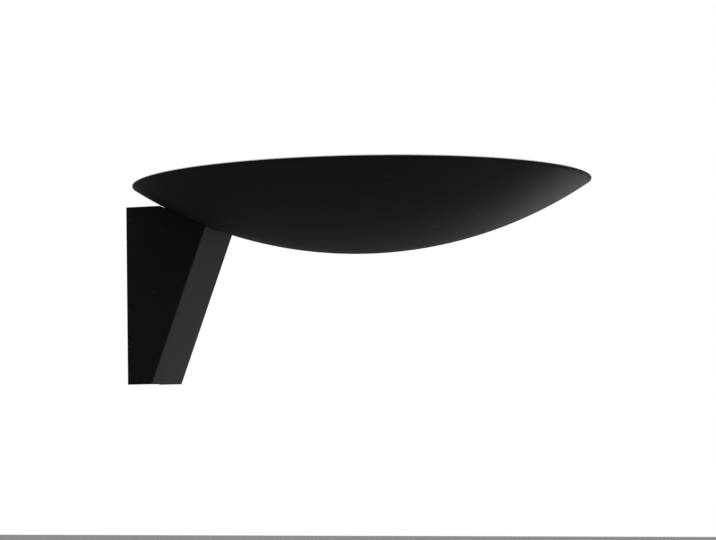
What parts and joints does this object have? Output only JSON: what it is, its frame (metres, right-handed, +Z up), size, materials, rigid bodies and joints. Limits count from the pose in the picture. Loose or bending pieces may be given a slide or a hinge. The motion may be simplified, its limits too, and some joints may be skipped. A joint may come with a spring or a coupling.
{
  "type": "uplighter wall sconce",
  "caption": "Shallow round metal dish, open upwards, on a narrow wedge-shaped wall body, with a linear lamp, reflector and cover glass inside.",
  "frame": {"origin": "middle of the two wall screw holes, on the wall face of the wall plate", "axes": "+Y into the wall, so the front faces -Y; +Z up; +X to the right of someone who faces the wall"},
  "size_m": [0.35, 0.3565, 0.1502],
  "materials": {
    "black_coat": "satin black powder coat, white inside the dish",
    "zinc_steel": "bright zinc plated",
    "bright_aluminium": "hammered and brightened",
    "pressed_aluminium": "plain mill finish",
    "steatite": "unglazed",
    "contact_brass": "plain",
    "tempered_glass": "clear, polished edge",
    "quartz": "clear",
    "tungsten": "drawn wire",
    "white_nylon": "moulded",
    "black_rubber": "moulded",
    "white_silicone": "moulded",
    "live_sleeve": "braided glass sleeve, brown",
    "neutral_sleeve": "braided glass sleeve, blue",
    "earth_sleeve": "braided glass sleeve, green and yellow"
  },
  "bodies": {
    "root": {"backing_plate": "zinc_steel", "body_fixing_screw": "zinc_steel", "bond_screw": "zinc_steel", "cable_clamp": "white_nylon", "cable_entry_grommet": "black_rubber", "clamp_screws": "zinc_steel", "contact_spring": "zinc_steel", "dish": "black_coat", "dish_nuts": "zinc_steel", "dish_screws": "zinc_steel", "dish_washers": "zinc_steel", "earth_nut": "zinc_steel", "earth_stud": "zinc_steel", "earth_tag": "contact_brass", "earth_wire": "earth_sleeve", "fixed_contact": "contact_brass", "glass_corner_seats": "white_silicone", "lamp_pan": "pressed_aluminium", "lampholder_left": "steatite", "lampholder_right": "steatite", "lampholder_screws": "zinc_steel", "lead_grommet": "black_rubber", "live_wire": "live_sleeve", "neutral_wire": "neutral_sleeve", "pan_nuts": "zinc_steel", "pan_spacers": "zinc_steel", "pan_studs": "zinc_steel", "reflector": "bright_aluminium", "reflector_rivets": "pressed_aluminium", "saddle_gasket": "black_rubber", "saddle_plate": "zinc_steel", "spring_cap": "zinc_steel", "terminal_block": "white_nylon", "terminal_fixing_screws": "zinc_steel", "terminal_screws": "contact_brass", "wall_plate": "zinc_steel", "wedge_body": "black_coat", "wire_bushes": "white_silicone"},
    "glass": {"glass_cover": "tempered_glass"},
    "lamp": {"lamp_tube": "quartz", "lamp_end_caps": "steatite", "filament": "tungsten"},
    "plunger": {"contact_plunger": "contact_brass"}
  },
  "joints": [
    {"name": "glass_lift", "type": "slide", "parent": "root", "child": "glass", "axis": [0, 0, 1], "range_m": [0, 0.04]},
    {"name": "lamp_push", "type": "slide", "parent": "root", "child": "lamp", "axis": [1, 0, 0], "range_m": [0, 0.0025], "stiffness_N_per_m": 1200, "springref_m": -0.002},
    {"name": "plunger_press", "type": "slide", "parent": "root", "child": "plunger", "axis": [1, 0, 0], "range_m": [0, 0.0025], "deforming": ["contact_spring"]}
  ],
  "couplings": [
    {"joint": "plunger_press", "follows": "lamp_push", "ratio": 1}
  ]
}
